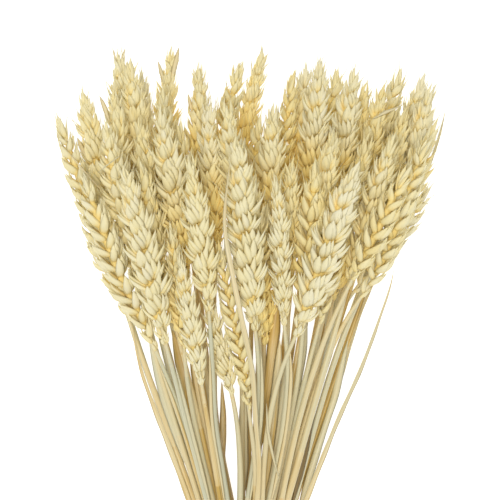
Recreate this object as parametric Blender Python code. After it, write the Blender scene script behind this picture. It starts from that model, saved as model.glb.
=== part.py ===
"""A bunch of dried wheat that lies on a table, bound once round its stems with twine.

+Z is up and +Y runs along the bunch, from the cut ends to the ears. The origin is on the
table, under the middle of the twine. Lengths are in metres.

Each stalk is one body: a stem that runs on as the axis of its ear, with the spikelets in
two alternating rows. A few dry leaf blades are caught in the bunch with the stems.
"""

import math

import bmesh
import bpy
import numpy as np
from mathutils import Vector

# Where the ears and leaves lie, as seen from above. The grid is that of a picture 500 units
# square: across counts from its left edge and down from its top edge.
GRID_UNIT = 0.00052
TIE_ACROSS = 246
TIE_DOWN = 620

# Tones of straw, and their colours
CREAM, GOLD, PALE = "straw_cream", "straw_gold", "straw_pale"
STRAW_COLOURS = {
    CREAM: (0.83, 0.73, 0.50, 1.0),
    GOLD: (0.78, 0.62, 0.34, 1.0),
    PALE: (0.80, 0.76, 0.60, 1.0),
}
TWINE_COLOUR = (0.42, 0.29, 0.15, 1.0)
STRAW_ROUGHNESS = 0.6
TWINE_ROUGHNESS = 0.9

# The ears. Each line holds the tip across and down, the base across and down, the height of
# the middle above the table in mm, the half width in mm, the turn about its own axis in
# degrees (0 shows both rows from above, 90 shows one row) and the tone.
EARS = (
    (55, 112, 128, 322, 36, 6.5, 5, CREAM),
    (83, 170, 158, 350, 53, 7.0, 15, CREAM),
    (125, 163, 168, 343, 70, 8.0, 60, CREAM),
    (143, 158, 181, 330, 56, 6.4, 30, GOLD),
    (169, 219, 182, 350, 62, 4.9, 35, GOLD),
    (184, 248, 204, 384, 71, 5.2, 70, CREAM),
    (189, 150, 209, 312, 78, 6.8, 75, CREAM),
    (205, 283, 223, 397, 64, 4.9, 60, CREAM),
    (216, 238, 249, 409, 66, 5.2, 0, GOLD),
    (234, 136, 253, 330, 78, 8.4, 62, CREAM),
    (250, 163, 260, 338, 63, 7.0, 40, CREAM),
    (267, 200, 264, 345, 48, 6.8, 40, GOLD),
    (276, 170, 290, 325, 76, 5.4, 76, CREAM),
    (294, 155, 292, 300, 60, 6.4, 60, GOLD),
    (356, 160, 288, 336, 76, 8.2, 50, PALE),
    (334, 124, 308, 290, 58, 7.2, 60, CREAM),
    (316, 160, 306, 312, 60, 7.0, 30, GOLD),
    (362, 172, 320, 325, 54, 6.0, 0, GOLD),
    (358, 205, 337, 302, 40, 5.6, 30, CREAM),
    (409, 164, 350, 280, 68, 6.5, 5, GOLD),
    (425, 136, 347, 298, 52, 6.4, 5, CREAM),
    (431, 181, 352, 292, 31, 6.0, 0, PALE),
    (396, 131, 350, 287, 53, 6.8, 45, CREAM),
    (372, 130, 337, 275, 48, 7.0, 70, CREAM),
    (403, 134, 358, 272, 38, 6.6, 60, GOLD),
    (407, 101, 358, 238, 30, 6.8, 80, GOLD),
    (436, 117, 374, 252, 40, 6.8, 50, CREAM),
    (436, 78, 386, 230, 21, 6.8, 60, CREAM),
    (426, 67, 380, 226, 6, 6.8, 40, PALE),
    (406, 61, 366, 220, 6, 6.8, 20, CREAM),
    (388, 80, 357, 230, 27, 6.8, 60, GOLD),
    (371, 75, 345, 230, 12, 6.8, 70, GOLD),
    (357, 61, 336, 225, 28, 7.0, 50, CREAM),
    (339, 61, 320, 228, 6, 7.0, 30, GOLD),
    (322, 52, 308, 222, 26, 7.2, 60, CREAM),
    (308, 57, 297, 225, 6, 7.0, 40, PALE),
    (294, 67, 272, 232, 22, 5.8, 10, GOLD),
    (274, 99, 264, 262, 44, 7.4, 60, CREAM),
    (260, 112, 254, 268, 30, 7.0, 30, GOLD),
    (265, 40, 226, 205, 6, 5.6, 50, CREAM),
    (241, 54, 208, 200, 17, 5.8, 20, GOLD),
    (224, 97, 236, 262, 50, 7.4, 70, CREAM),
    (209, 94, 214, 258, 44, 7.0, 85, PALE),
    (199, 57, 197, 226, 26, 6.6, 80, GOLD),
    (177, 117, 194, 270, 38, 6.4, 30, GOLD),
    (160, 103, 180, 282, 55, 7.6, 60, CREAM),
    (163, 82, 177, 238, 34, 7.0, 50, CREAM),
    (169, 40, 148, 190, 6, 5.6, 60, CREAM),
    (139, 64, 157, 232, 7, 6.2, 30, PALE),
    (128, 53, 142, 222, 27, 7.0, 50, CREAM),
    (117, 42, 127, 210, 6, 7.4, 70, CREAM),
    (114, 84, 136, 256, 37, 7.2, 70, CREAM),
    (136, 112, 152, 280, 40, 7.2, 60, GOLD),
    (104, 118, 138, 288, 47, 7.4, 45, CREAM),
    (79, 83, 110, 247, 22, 7.4, 60, CREAM),
)

# The leaf blades. Each line holds points from the tip down, across and down, then the height
# of the outer part above the table in mm and the tone.
LEAVES = (
    (((395, 269), (384, 307), (366, 359), (335, 430), (313, 490)), 44, GOLD),
    (((131, 326), (141, 375), (157, 420), (179, 480)), 34, PALE),
    (((236, 161), (225, 196), (227, 240), (237, 292), (252, 367), (259, 470)), 88, CREAM),
    (((453, 107), (443, 133), (430, 172), (366, 300)), 9, GOLD),
)

# The parting: a gap between the stems that is open from above. Each point holds its middle,
# across and down, and its half width.
PARTING = ((218, 372, 0.0), (221, 400, 4.0), (228, 440, 7.0), (233, 470, 4.0), (235, 492, 0.0))

# Sizes along the bunch, from the middle of the twine
MM = 0.001
CUT_END = -0.200
CUT_SPREAD = 0.006
LEAF_END = -0.026
TIE_HALF_LENGTH = 0.008

# How the bunch opens: how far towards the twine's wall the stalks and the leaves pass through
# it, the half width and middle height of the fan that they open into, how soon they bend, how
# much of its stalk's rise an ear keeps, and how much wider the cut ends stand than the twine.
STALK_SLOT_SHARE = 0.8
LEAF_SLOT_SHARE = 0.9
FAN_HALF_WIDTH = 0.100
FAN_MIDDLE_HEIGHT = 0.045
FIRST_SPREAD = 0.75
EAR_RISE_SHARE = 0.5
LEAF_LEVEL_FROM = 0.160
CUT_SPLAY = 1.7

# Stems: the straw, and its neck below the ear
STEM_RADIUS = 0.00150
NECK_RADIUS = 0.00110
NECK_LENGTH = 0.009
STEM_SIDES = 5

# Ears: the half width at shares of the length from the base, against the widest
EAR_SHARES = (-0.02, 0.0, 0.16, 0.4, 0.75, 1.0)
EAR_WIDTHS = (0.2, 0.5, 0.92, 1.0, 0.9, 0.4)

# Spikelets: how far apart they sit, and where the corners of each lie, as shares of the
# ear's half width at its height. OUT is to the side of its row and DEEP is across the rows,
# the way that a spikelet's florets fan out.
SPIKELET_PITCH = 0.0062
CORE_OUT, CORE_DEEP = 0.18, 0.38
BELLY_RISE, BELLY_OUT, BELLY_DEEP = 0.50, 0.72, 0.62
TIP_RISE, TIP_OUT, TIP_DEEP = 1.22, 0.62, 0.76
NOTCH_RISE, NOTCH_OUT = 0.80, 0.48
END_SPIKELET_LENGTH = 0.014
END_SPIKELET_RISE, END_SPIKELET_OUT, END_SPIKELET_DEEP = 0.35, 0.36, 0.48

# Leaf blades
BLADE_HALF_WIDTH = 0.00135
BLADE_HALF_THICKNESS = 0.0004
BLADE_RING_STEP = 0.018
BLADE_TAPER_LENGTH = 0.050

# The twine: turns side by side, wound on the bundle of stems, pressed flat on the table
TIE_INNER_RADIUS = 0.0148
TWINE_RADIUS = 0.0013
TWINE_TURNS = 5
TWINE_STEPS = 20
TURN_CORNERS = (150, 90, 30)
TIE_FLAT_DEPTH = 0.0005
TIE_OUTER_RADIUS = TIE_INNER_RADIUS + 2 * TWINE_RADIUS
TIE_HEIGHT = TIE_OUTER_RADIUS - TIE_FLAT_DEPTH

# How the stalks settle against each other
KNOTS = np.array(
    [-0.210, -0.060, -0.010, 0.010, 0.032, 0.055, 0.080, 0.105, 0.130]
    + [0.155, 0.180, 0.205, 0.230, 0.255, 0.280, 0.312]
)
SLICE_STEP = 0.006
CLEARANCE = 0.0005
TABLE_PRESS = 0.74
SETTLING_STEPS = 700
FREE_STEPS = 250
PUSH_SHARE = 1.5
RETURN_SHARE = 0.015
SMOOTHING = 0.1
SEED = 11


def across(units):
    """The X of a place on the picture's grid."""
    return (units - TIE_ACROSS) * GRID_UNIT


def along(units):
    """The Y of a place on the picture's grid."""
    return (TIE_DOWN - units) * GRID_UNIT


def ease(start, end, slope_start, slope_end, share, length):
    """A smooth cubic from start to end, share 0 to 1, with the given slopes at its ends."""
    s2, s3 = share**2, share**3
    return (
        (2 * s3 - 3 * s2 + 1) * start
        + (s3 - 2 * s2 + share) * length * slope_start
        + (3 * s2 - 2 * s3) * end
        + (s3 - s2) * length * slope_end
    )


def ear_fullness(share):
    """The ear's half width at a share of its length from the base, against its widest."""
    return np.interp(share, EAR_SHARES, EAR_WIDTHS)


def stalk_course(base, tip, slot):
    """Where one stalk would lie at each knot if nothing were in its way, as X and Z."""
    (x_base, y_base, z_base), (x_tip, y_tip, z_tip) = base, tip
    x_slot, z_slot = slot
    runs = ((x_slot, x_base, x_tip), (z_slot, z_base, z_tip))
    slot_middle = np.array([0.0, TIE_HEIGHT])
    course = np.empty((len(KNOTS), 2))
    for k, y in enumerate(KNOTS):
        for axis, (start, end, far) in enumerate(runs):
            lean = (far - end) / (y_tip - y_base)
            if y >= y_base:
                course[k, axis] = end + lean * (y - y_base)
            elif y > 0:
                spread = (end - start) / y_base
                first = FIRST_SPREAD * spread
                course[k, axis] = ease(start, end, first, lean, y / y_base, y_base)
            else:
                course[k, axis] = start
    course[0] = slot_middle + CUT_SPLAY * (np.array(slot) - slot_middle)
    return course


class Strand:
    """A stalk or a leaf blade: where it starts and ends along Y, its course and its girth."""

    def __init__(self, name, tone, y_start, y_base, y_tip, half_width, turn):
        self.name = name
        self.tone = tone
        self.y_start = y_start
        self.y_base = y_base
        self.y_tip = y_tip
        self.half_width = half_width
        self.turn = math.radians(turn)
        self.course = None

    def girth(self, y):
        """The radius that the strand takes up at each y, or 0 where there is none."""
        share = (y - self.y_base) / max(self.y_tip - self.y_base, 1e-6)
        stem = np.where((y > self.y_start - SLICE_STEP) & (y < self.y_tip), STEM_RADIUS, 0.0)
        ear = np.where(
            (share > EAR_SHARES[0]) & (y < self.y_tip + SLICE_STEP),
            self.half_width * ear_fullness(share),
            0.0,
        )
        return np.maximum(stem, ear)

    def drop(self, y):
        """How far down the strand reaches from its course at each y, once pressed on the table."""
        return np.maximum(STEM_RADIUS, self.girth(y) * TABLE_PRESS)

    def point(self, y):
        """The strand's centre at y, on a smooth curve through its knots."""
        k = int(np.clip(np.searchsorted(KNOTS, y) - 1, 0, len(KNOTS) - 2))
        gap = KNOTS[k + 1] - KNOTS[k]
        slopes = np.gradient(self.course, KNOTS, axis=0)
        x, z = ease(
            self.course[k], self.course[k + 1], slopes[k], slopes[k + 1], (y - KNOTS[k]) / gap, gap
        )
        return Vector((x, y, z))

    def place(self, y, out, deep):
        """A point beside the centre at y: out along the rows, and deep across them."""
        step = 0.002
        forward = (self.point(y + step) - self.point(y - step)).normalized()
        side = forward.cross(Vector((0, 0, 1))).normalized()
        up = side.cross(forward)
        row = side * math.cos(self.turn) + up * math.sin(self.turn)
        return self.point(y) + row * out + row.cross(forward) * deep


def wheat_strands(rng):
    """The stalks, each on the course it would take if nothing were in its way."""
    strands = []
    for number, (tip_a, tip_d, base_a, base_d, height, half_width, turn, tone) in enumerate(EARS):
        middle = Vector((across((tip_a + base_a) / 2), along((tip_d + base_d) / 2), height * MM))
        rise = EAR_RISE_SHARE * (middle.z - TIE_HEIGHT) / middle.y
        y_base, y_tip = along(base_d), along(tip_d)
        base = (across(base_a), y_base, middle.z + rise * (y_base - middle.y))
        tip = (across(tip_a), y_tip, middle.z + rise * (y_tip - middle.y))
        lift = (middle.z - FAN_MIDDLE_HEIGHT) / FAN_MIDDLE_HEIGHT
        toward = Vector((middle.x / FAN_HALF_WIDTH, lift))
        slot = toward * (STALK_SLOT_SHARE * TIE_INNER_RADIUS / max(1.0, toward.length))
        slot = (slot.x, TIE_HEIGHT + slot.y)
        y_start = CUT_END + rng.uniform(-CUT_SPREAD, CUT_SPREAD)
        name = f"stalk_{number + 1:02d}"
        strand = Strand(name, tone, y_start, y_base, y_tip, half_width * MM, turn)
        strand.course = stalk_course(base, tip, slot)
        strands.append(strand)
    return strands


def leaf_strands():
    """The leaf blades, each on the course it would take if nothing were in its way."""
    strands = []
    for number, (points, height, tone) in enumerate(LEAVES):
        ys = [along(down) for _, down in reversed(points)]
        xs = [across(a) for a, _ in reversed(points)]
        toward = Vector((xs[0], height * MM - TIE_HEIGHT)).normalized()
        slot = toward * (LEAF_SLOT_SHARE * TIE_INNER_RADIUS)
        ys = [0.0, *ys]
        xs = [slot.x, *xs]
        ends = (TIE_HEIGHT + slot.y, height * MM)
        heights = np.interp(KNOTS, (0.0, LEAF_LEVEL_FROM), ends)
        strand = Strand(f"leaf_{number + 1}", tone, LEAF_END, ys[-1], ys[-1], 0.0, 0.0)
        strand.course = np.column_stack((np.interp(KNOTS, ys, xs), heights))
        strands.append(strand)
    return strands


def knot_weights(slices):
    """Weights that turn values at the knots into values at the slices, along straight lines."""
    weights = np.zeros((len(slices), len(KNOTS)))
    for row, y in enumerate(slices):
        k = int(np.clip(np.searchsorted(KNOTS, y) - 1, 0, len(KNOTS) - 2))
        share = (y - KNOTS[k]) / (KNOTS[k + 1] - KNOTS[k])
        weights[row, k : k + 2] = 1 - share, share
    return weights


def settle(strands):
    """Moves the courses until no strand lies in another, the table, the twine or the parting.

    Each slice across the bunch is a plane of discs that push each other away. What a disc is
    pushed by is shared between the knots on both sides of it, so a strand bends smoothly.
    """
    slices = np.arange(CUT_END - CUT_SPREAD, KNOTS[-1], SLICE_STEP)
    weights = knot_weights(slices)
    reach = weights.sum(axis=0)
    wished = np.array([s.course for s in strands])
    slope = np.gradient(wished, KNOTS, axis=1)
    slant = np.sqrt(1 + (slope**2).sum(axis=2)) @ weights.T
    girth = (np.array([s.girth(slices) for s in strands]) * slant).T
    drop = np.array([s.drop(slices) for s in strands]).T
    there = girth > 0
    needed = girth[:, :, None] + girth[:, None, :] + CLEARANCE
    pairs = there[:, :, None] & there[:, None, :] & ~np.eye(len(strands), dtype=bool)
    tied = np.abs(slices) <= TIE_HALF_LENGTH + SLICE_STEP
    middle = np.array([0.0, TIE_HEIGHT])
    downs = [along(down) for _, down, _ in reversed(PARTING)]
    gap_middle = np.interp(slices, downs, [across(a) for a, _, _ in reversed(PARTING)])
    gap_half = np.interp(slices, downs, [half * GRID_UNIT for _, _, half in reversed(PARTING)])
    parted = gap_half > 0
    widest = np.argmax(gap_half)
    sides = np.sign(wished[:, :, 0] @ weights[widest] - gap_middle[widest])
    courses = wished.copy()
    for step in range(SETTLING_STEPS):
        places = np.einsum("sk,nkc->snc", weights, courses)
        apart = places[:, :, None, :] - places[:, None, :, :]
        distance = np.sqrt((apart**2).sum(axis=3)) + 1e-9
        short = np.where(pairs, np.maximum(needed - distance, 0), 0)
        push = (apart * (0.5 * short / distance)[..., None]).sum(axis=2)
        push[..., 1] += np.where(there, np.maximum(drop - places[..., 1] - push[..., 1], 0), 0)
        aside = (places[parted, :, 0] - gap_middle[parted, None]) * sides
        over = np.maximum(gap_half[parted, None] + girth[parted] - aside, 0) * there[parted]
        push[parted, :, 0] += sides * over
        offset = places[tied] + push[tied] - middle
        away = np.sqrt((offset**2).sum(axis=2)) + 1e-9
        over = np.maximum(away + girth[tied] + CLEARANCE - TIE_INNER_RADIUS, 0) * there[tied]
        push[tied] -= offset * (over / away)[..., None]
        courses += PUSH_SHARE * np.einsum("sk,snc->nkc", weights, push) / reach[None, :, None]
        if step < SETTLING_STEPS - FREE_STEPS:
            strayed = courses - wished
            smooth = strayed.copy()
            smooth[:, 1:-1] = (strayed[:, :-2] + strayed[:, 2:]) / 2
            mixed = (1 - SMOOTHING) * strayed + SMOOTHING * smooth
            courses = wished + (1 - RETURN_SHARE) * mixed
    for strand, course in zip(strands, courses, strict=True):
        strand.course = course


def stitch(bm, lower, upper):
    """Joins two rings of unlike counts with triangles, turning along both at one rate."""
    a = b = 0
    while a < len(lower) or b < len(upper):
        from_a, from_b = lower[a % len(lower)], upper[b % len(upper)]
        if (a + 1) * len(upper) <= (b + 1) * len(lower):
            a += 1
            bm.faces.new((from_a, lower[a % len(lower)], from_b))
        else:
            b += 1
            bm.faces.new((from_a, upper[b % len(upper)], from_b))


def loft(bm, rings):
    """Joins each ring to the next, corner by corner where their counts are alike."""
    for lower, upper in zip(rings, rings[1:]):
        if len(lower) != len(upper):
            stitch(bm, lower, upper)
            continue
        for i, corner in enumerate(lower):
            bm.faces.new((corner, lower[i - 1], upper[i - 1], upper[i]))


def stem_rings(bm, strand):
    """The rings of the straw, from its cut end to the foot of its ear."""
    neck = strand.y_base - NECK_LENGTH
    ys = [strand.y_start, *(y for y in KNOTS if strand.y_start < y < neck - NECK_LENGTH), neck]
    rings = []
    for y in ys:
        radius = NECK_RADIUS if y == neck else STEM_RADIUS
        turns = [math.tau * i / STEM_SIDES for i in range(STEM_SIDES)]
        corners = [strand.place(y, radius * math.cos(t), radius * math.sin(t)) for t in turns]
        rings.append([bm.verts.new(corner) for corner in corners])
    return rings


def raise_spikelet(bm, strand, low, high, side, y_low, y_high):
    """A spikelet, raised on one side of the ear between two of the core's edges.

    Its florets fan out to a tip at the front and one at the back, with a notch between them.
    """

    def corner(rise, out, deep):
        y = y_low + rise * (y_high - y_low)
        share = (y - strand.y_base) / (strand.y_tip - strand.y_base)
        width = strand.half_width * ear_fullness(share)
        return bm.verts.new(strand.place(y, side * out * width, deep * width))

    bellies = [corner(BELLY_RISE, BELLY_OUT, d * BELLY_DEEP) for d in (1, -1)]
    tips = [corner(TIP_RISE, TIP_OUT, d * TIP_DEEP) for d in (1, -1)]
    notch = corner(NOTCH_RISE, NOTCH_OUT, 0.0)
    bm.faces.new((low[0], low[1], bellies[1]))
    bm.faces.new((low[0], bellies[1], bellies[0]))
    bm.faces.new((bellies[0], bellies[1], notch))
    bm.faces.new((high[0], notch, high[1]))
    for i, (belly, tip) in enumerate(zip(bellies, tips)):
        bm.faces.new((belly, notch, tip))
        bm.faces.new((low[i], belly, high[i]))
        bm.faces.new((belly, tip, high[i]))
        bm.faces.new((tip, notch, high[i]))


def raise_ear(bm, strand):
    """The ear: a slim core whose two sides carry the spikelets by turns, and an end spikelet.

    Returns the ring at the ear's foot.
    """
    length = strand.y_tip - strand.y_base - END_SPIKELET_LENGTH
    count = round(length / SPIKELET_PITCH) - 1
    pitch = length / (count + 1)
    heights = [strand.y_base + j * pitch for j in range(count + 2)]
    edges = []
    for j, y in enumerate(heights):
        width = strand.half_width * ear_fullness((y - strand.y_base) / length)
        out = width * CORE_OUT * (-1) ** j
        deep = width * CORE_DEEP
        edges.append([bm.verts.new(strand.place(y, out, d)) for d in (deep, -deep)])
    for j in range(count):
        for i in (0, 1):
            bm.faces.new((edges[j][i], edges[j + 1][i], edges[j + 2][i]))
        raise_spikelet(
            bm, strand, edges[j], edges[j + 2], (-1) ** j, heights[j], heights[j + 2]
        )
    foot = [edges[0][0], edges[1][0], edges[1][1], edges[0][1]]
    last, end = edges[count], edges[count + 1]
    top = [last[0], last[1], end[1], end[0]]
    side = (-1) ** count
    y_belly = heights[-1] + END_SPIKELET_RISE * END_SPIKELET_LENGTH
    width = strand.half_width * ear_fullness((y_belly - strand.y_base) / length)
    out, deep = width * END_SPIKELET_OUT, width * END_SPIKELET_DEEP
    belly = [
        bm.verts.new(strand.place(y_belly, o * side * out, d * deep))
        for o, d in ((1, 1), (1, -1), (-1, -1), (-1, 1))
    ]
    loft(bm, [top, belly])
    tip = bm.verts.new(strand.place(strand.y_tip, 0.0, 0.0))
    for i, corner in enumerate(belly):
        bm.faces.new((corner, belly[i - 1], tip))
    return foot


def build_stalk(strand):
    """The mesh of one stalk, from its cut end to the tip of its ear."""
    bm = bmesh.new()
    rings = stem_rings(bm, strand)
    foot = raise_ear(bm, strand)
    bm.faces.new(rings[0])
    loft(bm, rings)
    stitch(bm, rings[-1], foot)
    return bm


def build_blade(strand):
    """The mesh of one leaf blade: a flat strip that narrows to its tip."""
    bm = bmesh.new()
    count = round((strand.y_tip - strand.y_start) / BLADE_RING_STEP)
    ys = np.linspace(strand.y_start, strand.y_tip, count + 1)
    rings = []
    for y in ys[:-1]:
        half_width = BLADE_HALF_WIDTH * min(1.0, (strand.y_tip - y) / BLADE_TAPER_LENGTH)
        half_width = max(half_width, BLADE_HALF_THICKNESS)
        corners = ((1, 1), (1, -1), (-1, -1), (-1, 1))
        rings.append(
            [
                bm.verts.new(strand.place(y, o * half_width, d * BLADE_HALF_THICKNESS))
                for o, d in corners
            ]
        )
    loft(bm, rings)
    bm.faces.new(rings[0])
    tip = bm.verts.new(strand.point(strand.y_tip))
    for i, corner in enumerate(rings[-1]):
        bm.faces.new((corner, rings[-1][i - 1], tip))
    return bm


def build_twine():
    """The mesh of the twine: turns side by side, wound into one band round the stems."""
    bm = bmesh.new()
    length = TWINE_TURNS * 2 * TWINE_RADIUS
    profile = [(-length / 2, TIE_INNER_RADIUS)]
    for turn in range(TWINE_TURNS):
        y = -length / 2 + (2 * turn + 1) * TWINE_RADIUS
        for angle in map(math.radians, TURN_CORNERS):
            out = TWINE_RADIUS * math.sin(angle)
            shift = TWINE_RADIUS * math.cos(angle)
            profile.append((y + shift, TIE_INNER_RADIUS + TWINE_RADIUS + out))
    profile.append((length / 2, TIE_INNER_RADIUS))
    middle = Vector((0, 0, TIE_HEIGHT))
    corners = [bm.verts.new(middle + Vector((0, y, -radius))) for y, radius in profile]
    edges = [bm.edges.new((a, b)) for a, b in zip(corners, corners[1:] + corners[:1])]
    bmesh.ops.spin(
        bm,
        geom=corners + edges,
        cent=middle,
        axis=Vector((0, 1, 0)),
        angle=math.tau,
        steps=TWINE_STEPS,
        use_merge=True,
    )
    return bm


def press_on_table(bm):
    """Flattens what would reach below the table."""
    for vert in bm.verts:
        vert.co.z = max(vert.co.z, 0.0)


def straw_material(name, colour, roughness):
    """A plain dry material with the part's colour."""
    material = bpy.data.materials.new(name)
    material.use_nodes = True
    shader = material.node_tree.nodes["Principled BSDF"]
    shader.inputs["Base Color"].default_value = colour
    shader.inputs["Roughness"].default_value = roughness
    return material


def add_object(name, bm, material, collection):
    """Puts a finished mesh into the scene under its own name, and returns its object."""
    bmesh.ops.recalc_face_normals(bm, faces=bm.faces)
    bmesh.ops.triangulate(bm, faces=bm.faces)
    mesh = bpy.data.meshes.new(name)
    bm.to_mesh(mesh)
    bm.free()
    mesh.materials.append(material)
    obj = bpy.data.objects.new(name, mesh)
    collection.objects.link(obj)
    return obj


def cut_flat(obj, size, collection):
    """Cuts off what lies below the table, with a box that only the cut uses."""
    bpy.ops.mesh.primitive_cube_add(size=size, location=(0, 0, -size / 2))
    cutter = bpy.context.object
    cutter.name = "table_cutter"
    cutter.hide_render = True
    cutter.display_type = "WIRE"
    for holder in list(cutter.users_collection):
        holder.objects.unlink(cutter)
    collection.objects.link(cutter)
    cut = obj.modifiers.new("flat spot", "BOOLEAN")
    cut.operation = "DIFFERENCE"
    cut.object = cutter


def clear_scene():
    """Removes what the file started with."""
    for obj in list(bpy.data.objects):
        bpy.data.objects.remove(obj)


def main():
    """Builds the whole bunch."""
    clear_scene()
    bunch = bpy.data.collections.new("dried_wheat")
    bpy.context.scene.collection.children.link(bunch)
    materials = {
        tone: straw_material(tone, colour, STRAW_ROUGHNESS)
        for tone, colour in STRAW_COLOURS.items()
    }
    stalks = wheat_strands(np.random.default_rng(SEED))
    blades = leaf_strands()
    settle(stalks + blades)
    for strand in stalks:
        bm = build_stalk(strand)
        press_on_table(bm)
        add_object(strand.name, bm, materials[strand.tone], bunch)
    for strand in blades:
        add_object(strand.name, build_blade(strand), materials[strand.tone], bunch)
    cutters = bpy.data.collections.new("cutters")
    bpy.context.scene.collection.children.link(cutters)
    hemp = straw_material("twine", TWINE_COLOUR, TWINE_ROUGHNESS)
    twine = add_object("twine", build_twine(), hemp, bunch)
    cut_flat(twine, 4 * TIE_OUTER_RADIUS, cutters)


main()
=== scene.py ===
"""The looks of the bunch of dried wheat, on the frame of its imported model.

+Z is up and +Y runs along the bunch, from the cut ends to the ears, and the origin is on the
table, under the middle of the twine. Lengths are in metres unless a comment says mm. The layout
below is the one that the model itself was made from. Each stalk, each leaf blade and the twine
is then dressed by a finer piece in the same place: an ear of husks on a striped straw, a folded
blade, laid twine.
"""

import math
from collections import namedtuple

import bpy
import numpy as np
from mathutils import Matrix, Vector


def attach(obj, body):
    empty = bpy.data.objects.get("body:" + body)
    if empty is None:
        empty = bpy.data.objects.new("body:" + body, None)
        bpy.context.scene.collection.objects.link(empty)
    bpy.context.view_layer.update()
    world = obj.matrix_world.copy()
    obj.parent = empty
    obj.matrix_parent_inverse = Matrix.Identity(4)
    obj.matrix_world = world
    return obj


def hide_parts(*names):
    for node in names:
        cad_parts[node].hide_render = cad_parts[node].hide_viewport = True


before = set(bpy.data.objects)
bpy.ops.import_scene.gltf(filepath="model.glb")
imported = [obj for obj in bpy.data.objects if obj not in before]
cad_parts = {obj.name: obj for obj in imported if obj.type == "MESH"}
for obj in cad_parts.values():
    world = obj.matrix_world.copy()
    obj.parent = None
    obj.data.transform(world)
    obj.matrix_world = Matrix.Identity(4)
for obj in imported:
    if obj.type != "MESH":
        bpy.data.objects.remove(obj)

# Where the ears and leaves lie, as seen from above. The grid is that of a picture 500 units
# square: across counts from its left edge and down from its top edge.
GRID_UNIT = 0.00052
TIE_ACROSS = 246
TIE_DOWN = 620

CREAM, GOLD, PALE = "straw_cream", "straw_gold", "straw_pale"

# The ears. Each line holds the tip across and down, the base across and down, the height of
# the middle above the table in mm, the half width in mm, the turn about its own axis in
# degrees (0 shows both rows from above, 90 shows one row) and the tone.
EARS = (
    (55, 112, 128, 322, 36, 6.5, 5, CREAM),
    (83, 170, 158, 350, 53, 7.0, 15, CREAM),
    (125, 163, 168, 343, 70, 8.0, 60, CREAM),
    (143, 158, 181, 330, 56, 6.4, 30, GOLD),
    (169, 219, 182, 350, 62, 4.9, 35, GOLD),
    (184, 248, 204, 384, 71, 5.2, 70, CREAM),
    (189, 150, 209, 312, 78, 6.8, 75, CREAM),
    (205, 283, 223, 397, 64, 4.9, 60, CREAM),
    (216, 238, 249, 409, 66, 5.2, 0, GOLD),
    (234, 136, 253, 330, 78, 8.4, 62, CREAM),
    (250, 163, 260, 338, 63, 7.0, 40, CREAM),
    (267, 200, 264, 345, 48, 6.8, 40, GOLD),
    (276, 170, 290, 325, 76, 5.4, 76, CREAM),
    (294, 155, 292, 300, 60, 6.4, 60, GOLD),
    (356, 160, 288, 336, 76, 8.2, 50, PALE),
    (334, 124, 308, 290, 58, 7.2, 60, CREAM),
    (316, 160, 306, 312, 60, 7.0, 30, GOLD),
    (362, 172, 320, 325, 54, 6.0, 0, GOLD),
    (358, 205, 337, 302, 40, 5.6, 30, CREAM),
    (409, 164, 350, 280, 68, 6.5, 5, GOLD),
    (425, 136, 347, 298, 52, 6.4, 5, CREAM),
    (431, 181, 352, 292, 31, 6.0, 0, PALE),
    (396, 131, 350, 287, 53, 6.8, 45, CREAM),
    (372, 130, 337, 275, 48, 7.0, 70, CREAM),
    (403, 134, 358, 272, 38, 6.6, 60, GOLD),
    (407, 101, 358, 238, 30, 6.8, 80, GOLD),
    (436, 117, 374, 252, 40, 6.8, 50, CREAM),
    (436, 78, 386, 230, 21, 6.8, 60, CREAM),
    (426, 67, 380, 226, 6, 6.8, 40, PALE),
    (406, 61, 366, 220, 6, 6.8, 20, CREAM),
    (388, 80, 357, 230, 27, 6.8, 60, GOLD),
    (371, 75, 345, 230, 12, 6.8, 70, GOLD),
    (357, 61, 336, 225, 28, 7.0, 50, CREAM),
    (339, 61, 320, 228, 6, 7.0, 30, GOLD),
    (322, 52, 308, 222, 26, 7.2, 60, CREAM),
    (308, 57, 297, 225, 6, 7.0, 40, PALE),
    (294, 67, 272, 232, 22, 5.8, 10, GOLD),
    (274, 99, 264, 262, 44, 7.4, 60, CREAM),
    (260, 112, 254, 268, 30, 7.0, 30, GOLD),
    (265, 40, 226, 205, 6, 5.6, 50, CREAM),
    (241, 54, 208, 200, 17, 5.8, 20, GOLD),
    (224, 97, 236, 262, 50, 7.4, 70, CREAM),
    (209, 94, 214, 258, 44, 7.0, 85, PALE),
    (199, 57, 197, 226, 26, 6.6, 80, GOLD),
    (177, 117, 194, 270, 38, 6.4, 30, GOLD),
    (160, 103, 180, 282, 55, 7.6, 60, CREAM),
    (163, 82, 177, 238, 34, 7.0, 50, CREAM),
    (169, 40, 148, 190, 6, 5.6, 60, CREAM),
    (139, 64, 157, 232, 7, 6.2, 30, PALE),
    (128, 53, 142, 222, 27, 7.0, 50, CREAM),
    (117, 42, 127, 210, 6, 7.4, 70, CREAM),
    (114, 84, 136, 256, 37, 7.2, 70, CREAM),
    (136, 112, 152, 280, 40, 7.2, 60, GOLD),
    (104, 118, 138, 288, 47, 7.4, 45, CREAM),
    (79, 83, 110, 247, 22, 7.4, 60, CREAM),
)

# The leaf blades. Each line holds points from the tip down, across and down, then the height
# of the outer part above the table in mm and the tone.
LEAVES = (
    (((395, 269), (384, 307), (366, 359), (335, 430), (313, 490)), 44, GOLD),
    (((131, 326), (141, 375), (157, 420), (179, 480)), 34, PALE),
    (((236, 161), (225, 196), (227, 240), (237, 292), (252, 367), (259, 470)), 88, CREAM),
    (((453, 107), (443, 133), (430, 172), (366, 300)), 9, GOLD),
)

# The parting: a gap between the stems that is open from above. Each point holds its middle,
# across and down, and its half width.
PARTING = ((218, 372, 0.0), (221, 400, 4.0), (228, 440, 7.0), (233, 470, 4.0), (235, 492, 0.0))

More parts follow.
